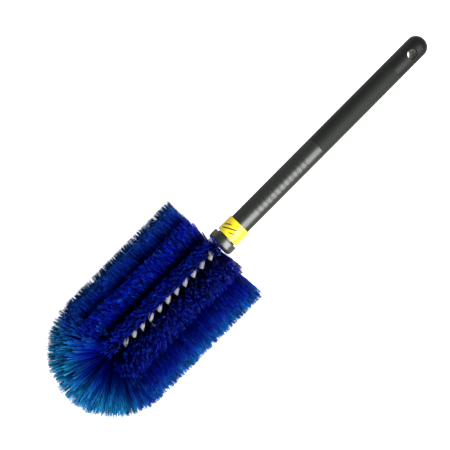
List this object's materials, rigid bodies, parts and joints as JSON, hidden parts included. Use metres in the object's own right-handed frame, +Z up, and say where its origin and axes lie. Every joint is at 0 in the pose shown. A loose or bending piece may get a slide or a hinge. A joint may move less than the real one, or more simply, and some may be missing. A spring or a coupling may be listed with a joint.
{
  "type": "wheel brush",
  "caption": "Long-handled wheel brush with a dense round-tipped bristle head on a twisted wire stem, a neck collar, a coloured band and a moulded handle with a hang hole.",
  "frame": {"origin": "centre of the bottom of the bounding box, half way along the brush, on the surface that it lies on", "axes": "+X along the brush from the bristle tip towards the tail of the handle, +Z up, the hang hole's axis along Z"},
  "size_m": [0.472, 0.124, 0.1209],
  "materials": {
    "bristle": "satin",
    "wire_steel": "satin",
    "sleeve_vinyl": "satin",
    "collar_plastic": "satin",
    "anchor_plastic": "matte",
    "band_plastic": "satin",
    "handle_plastic": "satin"
  },
  "bodies": {
    "root": {"tip_tuft": "bristle", "bristle_turn_01": "bristle", "bristle_turn_02": "bristle", "bristle_turn_03": "bristle", "bristle_turn_04": "bristle", "bristle_turn_05": "bristle", "bristle_turn_06": "bristle", "bristle_turn_07": "bristle", "bristle_turn_08": "bristle", "bristle_turn_09": "bristle", "bristle_turn_10": "bristle", "bristle_turn_11": "bristle", "bristle_turn_12": "bristle", "core_wire_a": "wire_steel", "core_wire_b": "wire_steel", "wire_sleeve_a": "sleeve_vinyl", "wire_sleeve_b": "sleeve_vinyl", "neck_collar": "collar_plastic", "stem_anchor": "anchor_plastic", "yellow_band": "band_plastic", "handle": "handle_plastic"}
  },
  "joints": []
}
